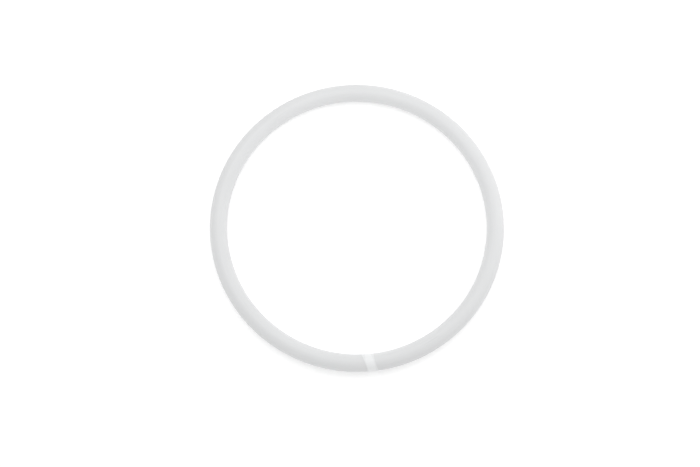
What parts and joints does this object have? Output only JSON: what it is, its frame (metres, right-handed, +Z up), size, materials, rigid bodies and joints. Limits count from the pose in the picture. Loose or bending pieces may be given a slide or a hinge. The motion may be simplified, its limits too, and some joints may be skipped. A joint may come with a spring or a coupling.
{
  "type": "rhythmic gymnastics hoop",
  "caption": "Plain round hoop for rhythmic gymnastics: a plastic tube bent into a ring, its ends joined on an inner plug, stapled and wound with tape.",
  "frame": {"origin": "centre of the ring, on the surface that the hoop lies on", "axes": "+Z up, along the ring's axis; -Y towards the seam between the two ends of the tube; +X to the right seen from above with the seam nearest"},
  "size_m": [0.51, 0.5104, 0.0308],
  "materials": {
    "tube_plastic": "satin polyethylene, light grey-white",
    "plug_plastic": "moulded polypropylene, natural",
    "staple_steel": "galvanised wire",
    "tape_vinyl": "white vinyl tape, satin"
  },
  "bodies": {
    "root": {"hoop_tube": "tube_plastic", "joint_plug": "plug_plastic", "staple_left": "staple_steel", "staple_right": "staple_steel", "joint_tape": "tape_vinyl"}
  },
  "joints": []
}
